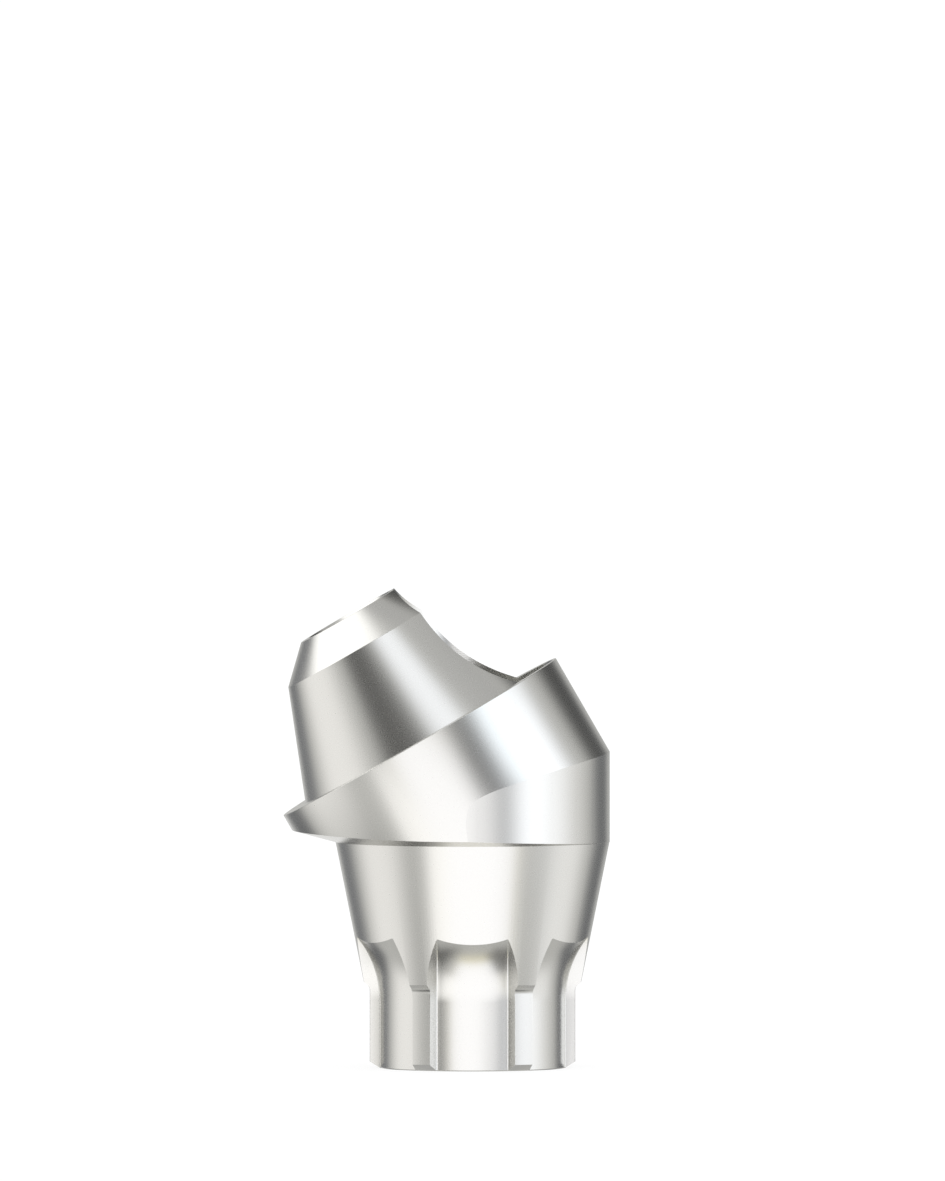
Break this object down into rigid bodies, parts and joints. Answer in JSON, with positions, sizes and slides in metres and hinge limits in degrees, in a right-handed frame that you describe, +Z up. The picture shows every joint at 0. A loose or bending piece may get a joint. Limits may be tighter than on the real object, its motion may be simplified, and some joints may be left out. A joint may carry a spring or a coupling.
{
  "type": "angled dental abutment",
  "caption": "One-piece 30 degree angled abutment with an indexed conical connection, a tapered post and a screw channel, for a screw-retained dental bridge.",
  "frame": {"origin": "on the axis of the implant connection, at the connection's end face", "axes": "+Z up the connection's axis; the head leans 30 degrees towards -X; the part is symmetric about the XZ plane"},
  "size_m": [0.005, 0.0048, 0.0073],
  "materials": {
    "machined_titanium": "satin titanium, turned and milled, then finely blasted; crisp edges"
  },
  "bodies": {
    "root": {"angled_abutment": "machined_titanium"}
  },
  "joints": []
}
